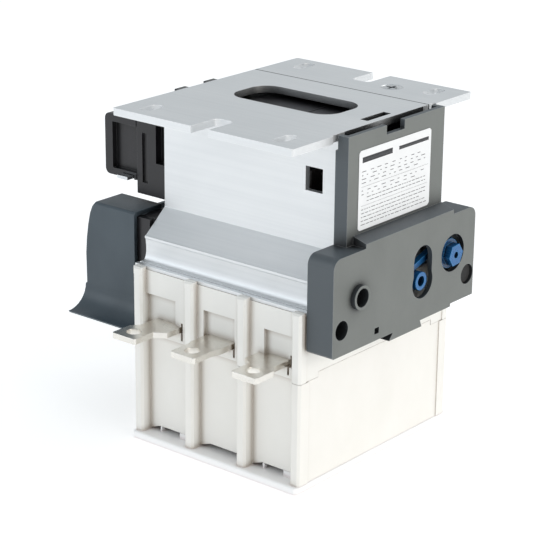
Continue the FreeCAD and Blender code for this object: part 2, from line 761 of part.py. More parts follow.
def core_cushions():
    top = CORE_TOP + LID_T + LID_GAP
    wide = LEG_Y - 4
    return [box(x - 4, x + 4, -wide, wide, top, WEB_Z) for x in (LID_X0 + 11, LID_X1 - 10)]


def coil_block():
    # Inner part stands against the end of the frame; the outer part holds the coil terminals
    inner = box(BLOCK_X, -FRAME_X - FIT, -COIL_Y, COIL_Y, BLOCK_Z, BLOCK_TOP)
    outer = box(TERMINAL_BOX_X, BLOCK_X + 1, -COIL_Y, COIL_Y, TERMINAL_BOX_Z, TERMINAL_BOX_TOP)
    left = [e for e in along(outer, 1) if e.CenterOfMass.x < TERMINAL_BOX_X + 0.1]
    outer = outer.makeFillet(3.0, left)
    face_x = -FRAME_X - FIT
    tabs = [box(face_x - 3, face_x, y, y + 7.4, BLOCK_TOP - 7, PLATE_TOP - 0.2) for y in (-21.8, -0.9)]
    tools = []
    for side in (-1, 1):
        face = side * COIL_Y
        low_z, high_z = TERMINAL_BOX_Z + 3.6, TERMINAL_BOX_TOP - 4
        tools.append(box(TERMINAL_BOX_X + 5.0, BLOCK_X - 0.2, face, face - side * 3, low_z, high_z))
        tools.append(box(BLOCK_X + 4, BLOCK_X + 7.5, face, face - side * 1.2, BLOCK_Z + 6, BLOCK_Z + BOX_RISE))
        mid_z = BLOCK_Z + BOX_RISE * 0.55
        tools.append(box(BLOCK_X + 13, face_x - 1.5, face, face - side * 4, mid_z, mid_z + BOX_RISE * 0.61))
        tools.append(peg_hole_z(2.7, CLAMP_X, side * 18, TERMINAL_BOX_Z - 1, TERMINAL_BOX_Z + 20.2))
        low_z = TERMINAL_BOX_Z - 1
        tools.append(box(CLAMP_X - 7.5, CLAMP_X + 7, face - side * 1.2, side * 8, low_z, TERMINAL_BOX_Z + 2.2))
        tools.append(box(CLAMP_X - 0.7, CLAMP_X + 6.7, face - side * 3, face + side, low_z, TERMINAL_BOX_Z + 2.4))
    body = fuse(inner, outer, *tabs)
    body = cut(body, *tools)
    seam = box(BLOCK_X - 0.2, BLOCK_X + 0.5, -COIL_Y - 1, -COIL_Y + 0.7, BLOCK_Z - 1, BLOCK_TOP + 1)
    return cut(body, seam, far_side(seam))


def coil_terminals():
    plates = []
    for side in (-1, 1):
        low = TERMINAL_BOX_Z + 0.6
        inner_y, outer_y = side * (COIL_Y - 1.4), side * (COIL_Y + 4.5)
        plate = box(CLAMP_X - 7.3, CLAMP_X + 6.8, inner_y, side * 8.2, low, low + 1.6)
        tongue = box(CLAMP_X - 0.5, CLAMP_X + 6.5, inner_y, outer_y, low, low + 1.6)
        plates.append(cut(fuse(plate, tongue), peg_hole_z(2.2, CLAMP_X, side * 18, low - 5, low + 5)))
    return plates


def coil_terminal_screws():
    low = TERMINAL_BOX_Z + 0.6
    return [pan_screw_z(CLAMP_X, side * 18, low, low + 15.6, 4.2, 2.0, 2.6, True) for side in (-1, 1)]


def shroud_wall():
    # Near wall, drawn in X and Z, with the rounded shoulder at the upper left
    points = [
        (SHROUD_END_X, SHROUD_TOP - 4.6),
        (SHROUD_END_X, SKIRT_TOP),
        (SHROUD_X, SKIRT_TOP),
        (SHROUD_X - 0.2, 82.0),
        (SHROUD_X + 0.5, 90.0),
        (SHROUD_X + 1.6, 97.0),
        (SHROUD_X + 3.0, 103.0),
        (SHROUD_X + 4.6, 106.8),
        (SHROUD_X + 7.2, SHROUD_TOP),
        (SHROUD_END_X, SHROUD_TOP),
    ]
    return points


def skirt():
    # The bottom of the near wall sweeps outwards in a quarter curve
    outer = []
    inner = []
    steps = 8
    for k in range(steps + 1):
        turn = FreeCAD.Rotation(V(1, 0, 0), 90.0 * k / steps)
        way = turn.multVec(V(0, 1, 0))
        y = -SHROUD_Y - SKIRT_OUT * (1 - way.y)
        z = SKIRT_TOP - SKIRT_DROP * way.z
        outer.append((y, z))
    for y, z in reversed(outer):
        inner.append((y + SHROUD_T * (0.35 + 0.65 * (z - SKIRT_TOP + SKIRT_DROP) / SKIRT_DROP), z - 1.1
                      if z < SKIRT_TOP - 0.1 else z))
    return prism_x(outer + inner, SHROUD_X, SKIRT_END_X)


def left_shroud():
    outline = shroud_wall()
    block = prism_y(outline, -SHROUD_Y, SHROUD_Y)
    edges = [e for e in block.Edges if abs(abs(e.CenterOfMass.y) - SHROUD_Y) < 0.01
             and e.CenterOfMass.x < SHROUD_END_X - 0.5 and e.CenterOfMass.z > SKIRT_TOP + 0.5]
    block = block.makeChamfer(1.2, edges)
    t = SHROUD_T
    inner = [(min(x + t, SHROUD_END_X + 1) if x < -80 else SHROUD_END_X + 1, min(z, SHROUD_TOP - t))
             for x, z in outline]
    inner[1] = (SHROUD_END_X + 1, SKIRT_TOP - 5)
    inner[2] = (SHROUD_X + t, SKIRT_TOP - 5)
    hollow = prism_y(inner, -SHROUD_Y + t, SHROUD_Y - t)
    middle = box(SHROUD_X - 5, SHROUD_END_X + 1, -SHROUD_IN_Y, SHROUD_IN_Y, SHROUD_SADDLE, SHROUD_TOP + 5)
    shell = cut(block, hollow, middle)
    lip = skirt()
    return fuse(shell, lip, far_side(lip))


def end_cap():
    # Black moulding that closes the left end of the frame and carries the shroud
    x_in = -FRAME_X - FIT
    wide = SHROUD_Y - 5
    high = SHROUD_TOP - 2.1
    base = box(SHROUD_END_X + 0.2, x_in, -wide, wide, SKIRT_TOP, high)
    upright = [e for e in along(base, 2) if e.CenterOfMass.x < SHROUD_END_X + 1]
    base = base.makeFillet(6.0, upright)
    foot = box(x_in - 1, -BODY_X - 0.2, -wide, wide, SKIRT_TOP, HOUSING_TOP - 0.6)
    inside = SHROUD_Y - SHROUD_T - 0.1
    tongues = []
    for side in (-1, 1):
        low_z, reach = SKIRT_TOP + 6, SHROUD_TOP - SHROUD_T - 0.1
        tongues.append(box(SHROUD_END_X - 17, SHROUD_END_X + 8, side * (inside - 4), side * inside, low_z, reach))
        tongues.append(box(SHROUD_END_X + 0.2, SHROUD_END_X + 8, side * (wide - 4), side * inside, low_z, reach))
    hollow = box(SHROUD_END_X + 2.6, x_in - 2.4, -wide + 6, wide - 6, SKIRT_TOP - 6, high - 3)
    return cut(fuse(base, foot, *tongues), hollow)


def wing_outline():
    body = box(WING_IN_X, WING_X, -WING_Y, WING_Y, WING_Z, WING_TOP)
    corners = [e for e in along(body, 0) if e.CenterOfMass.z > WING_TOP - 0.1]
    low = [e for e in along(body, 0) if e.CenterOfMass.z < WING_Z + 0.1]
    body = body.makeFillet(WING_R, corners)
    low = [e for e in along(body, 0) if e.CenterOfMass.z < WING_Z + 0.1]
    return body.makeChamfer(1.0, low)


def wing_openings():
    x0 = WING_X - COVER_T - 1
    x1 = WING_X + 1
    tools = [rod_x(SCREW_WELL_R, x0, x1, *COVER_SCREW_NEAR)]
    tools.append(rod_x(PLUG_R, x0, x1, *COVER_SCREW_FAR))
    tools.append(rod_x(BUSH_OUT_R, x0, x1, BUSH_Y, BUSH_Z))
    tools.append(box(x0, x1, -24.0, -20.6, 73.4, 76.4))
    tools.append(box(x0 - 20, x1, 36.8, 60, WING_Z - 1, WING_FAR_Z))
    low = rod_x(KEY_LOW_R, x0, x1, KEY_Y, KEY_LOW_Z)
    high = rod_x(KEY_UP_R, x0, x1, KEY_Y, KEY_UP_Z)
    neck = box(x0, x1, KEY_Y - KEY_UP_R, KEY_Y + KEY_UP_R, KEY_LOW_Z + 3, KEY_UP_Z)
    tools.append(fuse(low, high, neck))
    tools.append(rod_x(HUB_HOLE_R, x0, x1, HUB_Y, HUB_HOLE_Z))
    return tools


def label_panel():
    front = box(PANEL_X - COVER_T, PANEL_X, -PANEL_Y, PANEL_Y, WING_TOP - 4, PLATE_TOP)
    near = box(PANEL_IN_X, PANEL_X, -PANEL_Y, -PANEL_Y + COVER_T, WING_TOP - 4, PLATE_TOP)
    step = box(PANEL_IN_X - 1, PANEL_IN_X + 1.3, -PANEL_Y - 1, -PANEL_Y + 4, PLATE_TOP - 7, PLATE_TOP + 1)
    near = cut(near, step)
    body = fuse(front, near, far_side(near))
    notch = box(PANEL_X - COVER_T - 1, PANEL_X + 1, -8.7, 5.1, PLATE_TOP - 4.4, PLATE_TOP + 4)
    return cut(body, notch)


def side_cover():
    shell = wing_outline()
    inner = box(WING_IN_X - 1, WING_X - COVER_T, -WING_Y + COVER_T, WING_Y - COVER_T, WING_Z + COVER_T,
                WING_TOP - COVER_T)
    inner = inner.makeChamfer(2.0, [e for e in along(inner, 0) if e.CenterOfMass.z > 100])
    ledge = prism_y([(PANEL_X - 1, LEDGE_Z + 0.8), (WING_X, LEDGE_Z - 1.8), (WING_X, WING_TOP - 3),
                     (PANEL_X - 1, WING_TOP - 3)], LEDGE_Y0, PANEL_Y)
    tab = prism_x([(-9.2, WING_Z + 0.5), (-12.4, TAB_Z), (13.4, TAB_Z), (11.8, WING_Z + 0.5)], WING_X - 5, WING_X)
    body = fuse(shell, ledge, tab, label_panel())
    body = cut(body, inner)
    wells = []
    spacers = []
    bores = []
    for y, z in (COVER_SCREW_NEAR, COVER_SCREW_FAR):
        wells.append(peg_hole_x(SCREW_WELL_R + 2.2, WING_IN_X, WING_X - 1, y, z))
        spacers.append(peg_hole_x(3.8, BODY_X + 0.2, WING_IN_X + 1, y, z))
        bores.append(rod_x(SCREW_WELL_R, WING_IN_X + 3, WING_X - COVER_T, y, z))
        bores.append(peg_hole_x(2.2, WING_IN_X - 3, WING_X, y, z))
    limit = box(WING_IN_X, WING_X, -WING_Y, WING_Y, WING_Z, WING_TOP)
    wells = [well.common(limit) for well in wells]
    body = cut(fuse(body, *(wells + spacers)), *(bores + wing_openings()))
    through = PANEL_Y - COVER_T
    return cut(body, box(PANEL_IN_X - 3, PANEL_X - COVER_T, -through, through, WING_TOP - 6.9, WING_TOP + 1.1))


def rating_label():
    body = box(PANEL_X, PANEL_X + 0.2, -PANEL_Y + 7.8, PANEL_Y - 10.6, WING_TOP + 5.7, PLATE_TOP - 8)
    return body.makeChamfer(1.2, along(body, 0))


def pan_screw_x(y, z, seat_x, tip_x, head_r, shank_r, head_t):
    screw = pan_screw_z(0, 0, 0, tip_x - seat_x, head_r, shank_r, head_t)
    screw.rotate(V(0, 0, 0), V(0, 1, 0), 90)
    screw.translate(V(seat_x, y, z))
    return screw


def side_cover_screws():
    seat = WING_IN_X + 3
    return [pan_screw_x(*spot, seat, BODY_X - 8, 3.8, 2.0, 2.6) for spot in (COVER_SCREW_NEAR, COVER_SCREW_FAR)]


def screw_plug():
    y, z = COVER_SCREW_FAR
    return many_sided_x(PLUG_R - 0.02, 24, WING_X - COVER_T + 0.02, WING_X - 1.5, y, z)


def guide_bush():
    body = many_sided_x(BUSH_OUT_R - 0.02, 24, WING_X - 10, WING_X + BUSH_PROUD, BUSH_Y, BUSH_Z)
    return cut(body, many_sided_x(BUSH_R, 24, WING_X - 8.5, WING_X + 5, BUSH_Y, BUSH_Z))


def interlock_pin():
    body = many_sided_x(PIN_R, 24, 55.0, PIN_END_X, PIN_Y, PIN_Z)
    return cut(body, many_sided_x(PIN_BORE_R, 16, 57.5, PIN_END_X + 1, PIN_Y, PIN_Z))


LEVER_GAP = 0.2


def lever_direction():
    # The underside of the lever lies on the top of the pin; the hub's axis is above that line
    way = V(0, HUB_Y - PIN_Y, HUB_Z - PIN_Z)
    return way


def interlock_lever():
    way = lever_direction()
    length = way.Length
    arm = box(LEVER_X0, LEVER_X1, -length - 3.5, 0, PIN_R + LEVER_GAP, PIN_R + LEVER_GAP + LEVER_ARM)
    hub = many_sided_x(8.2, 24, LEVER_X0, LEVER_X1, 0, 0)
    collar = many_sided_x(7.3, 24, LEVER_X1, LEVER_X1 + 2.6, 0, 0)
    spread = HEX_FLATS / 3 ** 0.5
    points = []
    for turn in range(6):
        spot = FreeCAD.Rotation(V(1, 0, 0), 60 * turn + 18).multVec(V(0, 0, spread))
        points.append((spot.y, spot.z))
    hexagon = prism_x(points, LEVER_X1 + 2.6, HEX_X)
    lever = fuse(hub, collar, arm, hexagon)
    lever = cut(lever, rod_x(1.62, LEVER_X0 - 1, 70, 0, 0))
    angle = FreeCAD.Vector(0, 1, 0).getAngle(way) * 180 / 3.141592653589793
    lever.rotate(V(0, 0, 0), V(1, 0, 0), angle)
    lever.translate(V(0, HUB_Y, HUB_Z))
    return lever


def lever_pivot():
    pin = rod_x(1.55, BODY_X + 0.1, 65.4, HUB_Y, HUB_Z)
    foot = peg_hole_x(5.0, BODY_X + 0.1, LEVER_X0 - 0.3, HUB_Y, HUB_Z)
    return fuse(pin, foot)


def moving_bridge(name):
    x = bay_x(name)
    body = box(x - BRIDGE_HALF_X, x + BRIDGE_HALF_X, -BRIDGE_HALF_Y, BRIDGE_HALF_Y, BRIDGE_Z, WINDOW_TOP)
    return body.makeChamfer(0.8, along(body, 2))


def bridge_pads():
    return contact_pads(-1, WINDOW_TOP) + contact_pads(1, WINDOW_TOP)


def contact_springs():
    return [coil_spring(3.0, 0.5, bay_x(name), 0, SPRING_SEAT_Z, BRIDGE_Z, 2) for name in POLES]


def return_springs():
    return [coil_spring(3.9, 0.6, 0, side * 21.5, ARM_BASE, BOBBIN_Z, 4) for side in (-1, 1)]


save("top_frame", top_frame())
save("rear_frame", rear_frame())
save("earth_screw", earth_screw())
save("earth_nut", earth_nut())
save("foot_screws", foot_screws())
save("pole_housing", pole_housing())
save("arc_chamber_cover", arc_chamber_cover())
save("front_plate", front_plate())
save("front_screws", front_screws())
for side_name, side in SIDES.items():
    for name in POLES:
        save(side_name + "_terminal_" + name, terminal(name, side))
        save(side_name + "_arc_plates_" + name, arc_plates(name, side))
    save(side_name + "_contact_tips", contact_pads(side, TERM_Z - PAD_T))
save("terminal_screws", terminal_screws())
save("contact_carrier", contact_carrier())
save("armature", armature())
save("armature_screws", armature_screws())
for name in POLES:
    save("moving_bridge_" + name, moving_bridge(name))
save("bridge_contact_tips", bridge_pads())
save("contact_springs", contact_springs())
save("return_springs", return_springs())
rings = shading_rings()
save("magnet_core", cut(magnet_core(), *rings))
save("shading_rings", rings)
save("coil_bobbin", coil_bobbin())
save("coil_winding", coil_winding())
save("coil_lid", coil_lid())
save("core_cushions", core_cushions())
save("coil_block", coil_block())
save("coil_terminals", coil_terminals())
save("coil_terminal_screws", coil_terminal_screws())
save("left_shroud", left_shroud())
save("end_cap", end_cap())
save("side_cover", side_cover())
save("rating_label", rating_label())
save("side_cover_screws", side_cover_screws())
save("screw_plug", screw_plug())
save("guide_bush", guide_bush())
save("interlock_pin", interlock_pin())
save("interlock_lever", interlock_lever())
save("lever_pivot", lever_pivot())
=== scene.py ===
import bpy
import json
import math
import random
from mathutils import Matrix, Vector


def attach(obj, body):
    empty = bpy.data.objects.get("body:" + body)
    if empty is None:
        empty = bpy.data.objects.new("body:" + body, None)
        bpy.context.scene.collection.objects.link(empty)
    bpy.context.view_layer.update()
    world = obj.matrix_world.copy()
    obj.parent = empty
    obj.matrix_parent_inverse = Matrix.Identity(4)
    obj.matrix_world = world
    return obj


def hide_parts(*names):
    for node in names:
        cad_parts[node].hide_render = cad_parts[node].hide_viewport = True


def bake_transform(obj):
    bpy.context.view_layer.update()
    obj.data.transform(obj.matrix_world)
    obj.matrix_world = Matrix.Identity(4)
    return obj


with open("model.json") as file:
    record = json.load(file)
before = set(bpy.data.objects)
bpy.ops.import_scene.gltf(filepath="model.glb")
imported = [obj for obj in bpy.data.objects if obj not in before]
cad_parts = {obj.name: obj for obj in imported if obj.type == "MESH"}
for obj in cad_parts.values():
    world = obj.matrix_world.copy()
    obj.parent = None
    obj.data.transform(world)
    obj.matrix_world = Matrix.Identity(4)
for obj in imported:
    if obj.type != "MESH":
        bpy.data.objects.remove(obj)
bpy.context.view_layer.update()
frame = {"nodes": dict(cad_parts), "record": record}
nodes = frame["nodes"]
MM = 0.001


# The camera's place in metres, its angles in degrees and its focal length in pixels of a 550 frame,
# solved from the corners of the object
CAMERA_SPOT = (0.565036, -0.704573, 0.398044)
CAMERA_ANGLES = (39.281, 19.383, 0.607)
FOCAL_PIXELS, FRAME_PIXELS = 1971.0, 550.0


def aim_camera():
    azimuth, elevation, roll = (math.radians(angle) for angle in CAMERA_ANGLES)
    back = Vector((math.sin(azimuth) * math.cos(elevation), -math.cos(azimuth) * math.cos(elevation),
                   math.sin(elevation)))
    right = (-back).cross(Vector((0, 0, 1))).normalized()
    up = right.cross(-back)
    right, up = (right * math.cos(roll) + up * math.sin(roll), -right * math.sin(roll) + up * math.cos(roll))
    data = bpy.data.cameras.new("photo_camera")
    data.sensor_width = 36.0
    data.lens = FOCAL_PIXELS / FRAME_PIXELS * data.sensor_width
    data.clip_start = 0.05
    data.clip_end = 20.0
    camera = bpy.data.objects.new("photo_camera", data)
    bpy.context.collection.objects.link(camera)
    turn = Matrix((right, up, back)).transposed().to_4x4()
    camera.matrix_world = Matrix.Translation(CAMERA_SPOT) @ turn
    bpy.context.scene.camera = camera


def softbox(name, place, target, size, power, tint=(1, 1, 1)):
    data = bpy.data.lights.new(name, "AREA")
    data.shape = "RECTANGLE"
    data.size, data.size_y = size
    data.energy = power
    data.color = tint
    lamp = bpy.data.objects.new(name, data)
    bpy.context.collection.objects.link(lamp)
    lamp.location = place
    way = Vector(target) - Vector(place)
    lamp.rotation_euler = way.to_track_quat("-Z", "Y").to_euler()


class Tree:
    """A node tree that is written from left to right."""

    def __init__(self, tree):
        self.tree = tree

    def add(self, kind, *links, **settings):
        node = self.tree.nodes.new(kind)
        for key, value in settings.items():
            if hasattr(node, key):
                setattr(node, key, value)
            else:
                node.inputs[key.replace("_", " ")].default_value = value
        for socket, source in links:
            self.tree.links.new(source, node.inputs[socket])
        return node

    def feed(self, socket, value):
        """Give a socket a number, or link it to another node's output."""
        if isinstance(value, (int, float)):
            socket.default_value = value
        else:
            self.tree.links.new(value, socket)

    def math(self, operation, first, second=None, clamp=False):
        node = self.tree.nodes.new("ShaderNodeMath")
        node.operation = operation
        node.use_clamp = clamp
        self.feed(node.inputs[0], first)
        if second is not None:
            self.feed(node.inputs[1], second)
        return node.outputs[0]

    def span(self, value, from_low, from_high, to_low, to_high):
        node = self.add("ShaderNodeMapRange", ("Value", value))
        limits = {"From Min": from_low, "From Max": from_high, "To Min": to_low, "To Max": to_high}
        for key, number in limits.items():
            node.inputs[key].default_value = number
        return node.outputs["Result"]


class Look(Tree):
    """A procedural finish for one of the object's own materials."""

    def __init__(self, name, roughness, metallic=0.0, **shader_values):
        material = bpy.data.materials.new(name)
        material.use_nodes = True
        super().__init__(material.node_tree)
        self.material = material
        self.shader = material.node_tree.nodes["Principled BSDF"]
        self.shader.inputs["Metallic"].default_value = metallic
        self.shader.inputs["Roughness"].default_value = roughness
        for key, value in shader_values.items():
            self.shader.inputs[key.replace("_", " ")].default_value = value
        self.place = self.add("ShaderNodeTexCoord").outputs["Object"]

    def noise(self, size_mm, stretch=(1, 1, 1), detail=3.0, roughness=0.55):
        scale = [1000.0 / size_mm / k for k in stretch]
        mapping = self.add("ShaderNodeMapping", ("Vector", self.place))
        mapping.inputs["Scale"].default_value = scale
        return self.add("ShaderNodeTexNoise", ("Vector", mapping.outputs[0]), Scale=1.0, Detail=detail,
                        Roughness=roughness).outputs["Fac"]

    def blend(self, factor, first, second):
        node = self.add("ShaderNodeMix", ("Factor", factor), data_type="RGBA")
        for index, colour in ((6, first), (7, second)):
            if isinstance(colour, tuple):
                node.inputs[index].default_value = (*colour, 1)
            else:
                self.tree.links.new(colour, node.inputs[index])
        return node.outputs[2]

    def worn_and_lit_edges(self, width_mm, gain):
        # The edges it finds are painted lighter, partly as wear and partly as painted highlight
        # Where the rounded normal leaves the flat one, the surface is near an edge
        rounded = self.add("ShaderNodeBevel", Radius=width_mm * MM, samples=4).outputs[0]
        flat = self.add("ShaderNodeNewGeometry").outputs["Normal"]
        compared = self.add("ShaderNodeVectorMath", (0, rounded), (1, flat), operation="DOT_PRODUCT")
        lean = self.math("SUBTRACT", 1.0, compared.outputs["Value"])
        return self.math("MULTIPLY", lean, gain, clamp=True)

    def hollow_shade(self, distance_mm):
        node = self.add("ShaderNodeAmbientOcclusion", samples=6)
        node.inputs["Distance"].default_value = distance_mm * MM
        return node.outputs["AO"]

    def colour(self, source):
        self.tree.links.new(source, self.shader.inputs["Base Color"])

    def rough(self, source):
        self.tree.links.new(source, self.shader.inputs["Roughness"])

    def relief(self, height, depth_mm, chained=None):
        node = self.add("ShaderNodeBump", ("Height", height), Strength=1.0)
        node.inputs["Distance"].default_value = depth_mm * MM
        if chained is not None:
            self.tree.links.new(chained, node.inputs["Normal"])
        self.tree.links.new(node.outputs[0], self.shader.inputs["Normal"])
        return node.outputs[0]


# The mounting plate, in millimetres: its underside, how far the body reaches under it to each side,
# where its two profiles meet, and the half width of the painted shade in the joint, full and fading
WEB_UNDER = 164.3
BODY_HALF_Y = 30.0
JOINT_Y = 34.4
JOINT_SHADE_FULL, JOINT_SHADE_END = 0.22, 0.50


def extruded_aluminium():
    # Satin anodised: faint die lines along X, a fine grain, and bright cut edges, partly wear and partly
    # painted highlight
    look = Look("extruded_aluminium", 0.46, 0.82)
    lines = look.noise(1.3, (200, 1, 1), 2.0)
    cloud = look.noise(30, (2.2, 1, 1), 3.0)
    grain = look.noise(0.35, (3, 1, 1), 1.0)
    base = look.blend(look.span(cloud, 0.3, 0.7, 0, 1), (0.735, 0.752, 0.765), (0.80, 0.812, 0.82))
    base = look.blend(look.span(lines, 0.40, 0.75, 0, 0.16), base, (0.58, 0.60, 0.62))
    base = look.blend(look.worn_and_lit_edges(0.5, 3.0), base, (0.96, 0.965, 0.97))
    # Painted shade: the openings' walls in the plate are painted dark where the sky is hidden, and the joint
    # between the profiles is painted dark as the shade in its gap
    spot = look.add("ShaderNodeSeparateXYZ", ("Vector", look.place)).outputs
    in_plate = look.math("GREATER_THAN", spot["Z"], WEB_UNDER * MM)
    over_body = look.math("LESS_THAN", look.math("ABSOLUTE", spot["Y"]), BODY_HALF_Y * MM)
    opening = look.math("MULTIPLY", in_plate, over_body)
    shade = look.span(look.hollow_shade(12.0), 0.62, 0.97, 1, 0)
    painted_shade_in_opening = look.math("MULTIPLY", shade, opening, clamp=True)
    base = look.blend(painted_shade_in_opening, base, (0.045, 0.046, 0.048))
    # Painted shade in the gap of the joint between the two profiles
    off_joint = look.math("ABSOLUTE", look.math("SUBTRACT", spot["Y"], JOINT_Y * MM))
    near_joint = look.span(off_joint, JOINT_SHADE_FULL * MM, JOINT_SHADE_END * MM, 1, 0)
    joint_shade = look.math("MULTIPLY", near_joint, in_plate, clamp=True)
    base = look.blend(joint_shade, base, (0.050, 0.051, 0.053))
    look.colour(base)
    look.rough(look.span(look.math("ADD", cloud, grain), 0.6, 1.4, 0.42, 0.52))
    first = look.relief(lines, 0.003)
    look.relief(grain, 0.004, first)
    return look.material


def moulded_plastic(name, light, deep, roughness, texture_mm, depth_mm, hollow=None, edge_wear_and_highlight=None, shut=0.35,
                    shaded_sides=None):
    """Cloudy base colour and spark texture; hollow is the tone and reach of the shade in corners."""
    look = Look(name, roughness)
    cloud = look.noise(22, (1, 1, 1.6), 4.0)
    spark = look.noise(texture_mm, (1, 1, 1), 2.0, 0.7)
    base = look.blend(look.span(cloud, 0.35, 0.68, 0, 1), light, deep)
    if shaded_sides:
        # Painted light and shade: faces turned to the right keep the pale base colour, and the other sides
        # are painted darker
        normal = look.add("ShaderNodeNewGeometry").outputs["Normal"]
        rightward = look.add("ShaderNodeSeparateXYZ", ("Vector", normal)).outputs["X"]
        base = look.blend(look.span(rightward, 0.35, 0.85, 1, 0), base, shaded_sides)
    if hollow:
        tone, reach = hollow
        open_sky = look.hollow_shade(reach)
        base = look.blend(look.span(open_sky, shut, 0.97, 1, 0), base, tone)
    if edge_wear_and_highlight:
        # Lighter edges, partly wear and partly painted highlight
        base = look.blend(look.worn_and_lit_edges(0.45, 3.5), base, edge_wear_and_highlight)
    look.colour(base)
    look.rough(look.span(look.math("ADD", cloud, spark), 0.7, 1.35, roughness - 0.06, roughness + 0.09))
    look.relief(spark, depth_mm)
    return look.material


def bright_metal(name, light, deep, roughness, stretch=(1, 1, 1), edge_wear_and_highlight=True):
    """Plated or rolled metal: a soft cloud, a fine brushed grain, and edges rubbed bright, partly as wear and
    partly as painted highlight.
    """
    look = Look(name, roughness, 1.0)
    cloud = look.noise(14, (1, 1, 1), 2.0)
    brush = look.noise(0.5, stretch, 2.0)
    base = look.blend(look.span(cloud, 0.35, 0.68, 0, 1), light, deep)
    if edge_wear_and_highlight:
        worn_lit_tone = tuple(min(1.0, k * 1.15) for k in light)
        base = look.blend(look.worn_and_lit_edges(0.3, 3.0), base, worn_lit_tone)
    look.colour(base)
    look.rough(look.span(look.math("ADD", cloud, brush), 0.65, 1.4, roughness - 0.07, roughness + 0.12))
    look.relief(brush, 0.006)
    return look.material


def label_paper():
    look = Look("label_paper", 0.38, 0.0, Coat_Weight=0.25)
    cloud = look.noise(9, (1, 1, 1), 3.0)
    tone = look.span(cloud, 0.3, 0.7, 0, 1)
    look.colour(look.blend(tone, (0.80, 0.81, 0.82), (0.755, 0.765, 0.775)))
    look.relief(look.noise(0.5), 0.004)
    return look.material


def label_ink():
    look = Look("label_ink", 0.5)
    speck = look.noise(0.4, (1, 1, 1), 1.0)
    tone = look.span(speck, 0.35, 0.7, 0, 1)
    look.colour(look.blend(tone, (0.020, 0.021, 0.024), (0.055, 0.057, 0.062)))
    return look.material


def make_plastics():
    bay_shadow = ((0.40, 0.335, 0.27), 3.6)
    # The lighter edge colours below are partly wear and partly painted highlight
    worn_lit_cream = (0.90, 0.89, 0.87)
    return {
        "housing_plastic": moulded_plastic(
            "moulded_cream", (0.845, 0.835, 0.80), (0.815, 0.803, 0.77), 0.46, 0.45, 0.008,
            bay_shadow, worn_lit_cream),
        "cover_plastic": moulded_plastic(
            "moulded_ivory", (0.845, 0.828, 0.792), (0.815, 0.798, 0.757), 0.46, 0.45, 0.008,
            bay_shadow, worn_lit_cream),
        "front_plastic": moulded_plastic(
            "moulded_white", (0.95, 0.945, 0.945), (0.92, 0.915, 0.915), 0.36, 0.6, 0.006,
            ((0.74, 0.66, 0.65), 2.0), (0.98, 0.98, 0.98)),
        # The last colour is painted shade on every side but the one turned to the right
        "dark_grey_plastic": moulded_plastic(
            "spark_grey", (0.150, 0.160, 0.152), (0.138, 0.147, 0.140), 0.47, 0.38, 0.014,
            ((0.010, 0.011, 0.012), 10.0), (0.25, 0.265, 0.27), 0.5, (0.074, 0.088, 0.099)),
        "shroud_plastic": moulded_plastic(
            "slate_grey", (0.052, 0.073, 0.090), (0.044, 0.062, 0.077), 0.40, 0.5, 0.008,
            ((0.010, 0.013, 0.016), 9.0), (0.14, 0.175, 0.195)),
        "black_plastic": moulded_plastic(
            "coil_black", (0.0125, 0.0115, 0.0145), (0.0075, 0.007, 0.0085), 0.33, 0.6, 0.008,
            ((0.003, 0.003, 0.003), 6.0), (0.08, 0.08, 0.085)),
        "blue_plastic": moulded_plastic(
            "signal_blue", (0.012, 0.125, 0.335), (0.008, 0.095, 0.27), 0.28, 0.8, 0.006,
            ((0.002, 0.012, 0.035), 6.0), (0.08, 0.38, 0.78), 0.5),
        "winding_tape": moulded_plastic(
            "winding_tape", (0.020, 0.015, 0.013), (0.012, 0.009, 0.008), 0.42, 1.2, 0.02),
        "cushion_rubber": moulded_plastic(
            "cushion_rubber", (0.022, 0.022, 0.022), (0.015, 0.015, 0.015), 0.75, 0.9, 0.02),
    }


def make_metals():
    even = (1, 1, 1)
    return {
        "frame_aluminium": extruded_aluminium(),
        "plated_copper": bright_metal("tin_plate", (0.84, 0.815, 0.765), (0.76, 0.735, 0.685), 0.27),
        "contact_silver": bright_metal("contact_silver", (0.86, 0.85, 0.83), (0.72, 0.71, 0.69), 0.38),
        "copper": bright_metal("enamelled_copper", (0.40, 0.15, 0.07), (0.26, 0.09, 0.04), 0.34, even, False),
        "magnet_steel": bright_metal(
            "lamination_steel", (0.40, 0.41, 0.43), (0.30, 0.31, 0.33), 0.40, (1, 60, 1)),
        "arc_steel": bright_metal("chute_steel", (0.50, 0.49, 0.47), (0.38, 0.37, 0.35), 0.42),
        "zinc_steel": bright_metal("zinc_plate", (0.74, 0.76, 0.77), (0.60, 0.62, 0.64), 0.24),
        # Painted shade: a black steel for the side cover screws, as the shade in their deep wells
        "shade_black_steel": bright_metal("steel_painted_shade_black", (0.030, 0.030, 0.032), (0.018, 0.018, 0.019), 0.42),
    }


def make_finishes():
    label = {"label_film": label_paper(), "label_ink": label_ink()}
    return {**make_plastics(), **make_metals(), **label}


# The material slot of each CAD node, from the part's own record
SLOT_OF = {}
for part in frame["record"]["subparts"]:
    SLOT_OF[part["node"]] = part["material_slot"]


# Angles in degrees: facets flatter than the first are one face, edges past the second stay sharp in
# the shading, and edges past the third are rounded
FLAT_ANGLE, SHARP_ANGLE, ROUNDED_ANGLE = 0.6, 32, 36


